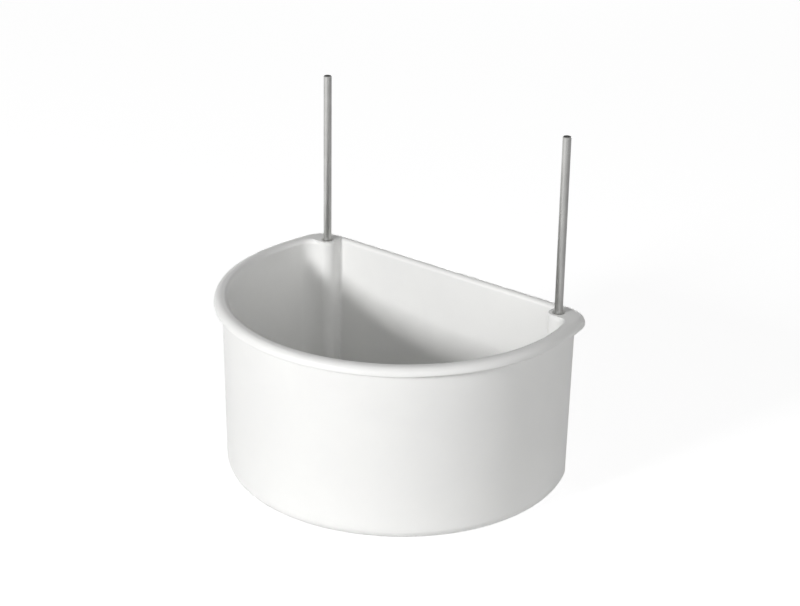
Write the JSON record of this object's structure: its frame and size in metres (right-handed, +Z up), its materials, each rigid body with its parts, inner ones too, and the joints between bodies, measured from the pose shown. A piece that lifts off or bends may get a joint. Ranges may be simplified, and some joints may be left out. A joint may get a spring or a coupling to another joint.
{
  "type": "seed cup",
  "caption": "Half-round white plastic seed cup with a rounded lip and straight steel wire pins standing in its rear corners, for hanging in a cage.",
  "frame": {"origin": "On the plane that the cup stands on, under the middle of its rim.", "axes": "+Z up along the wire pins, +Y towards the flat back, +X to the right as seen from the round front."},
  "size_m": [0.1, 0.0724, 0.0984],
  "materials": {
    "white_plastic": "moulded, satin",
    "steel_wire": "drawn bright, cut ends"
  },
  "bodies": {
    "cup": {"cup": "white_plastic"},
    "pin_left": {"pin_left": "steel_wire"},
    "pin_right": {"pin_right": "steel_wire"}
  },
  "joints": [
    {"name": "pin_left_slide", "type": "slide", "parent": "cup", "child": "pin_left", "axis": [0, 0, 1], "range_m": [0, 0.03]},
    {"name": "pin_right_slide", "type": "slide", "parent": "cup", "child": "pin_right", "axis": [0, 0, 1], "range_m": [0, 0.03]}
  ]
}
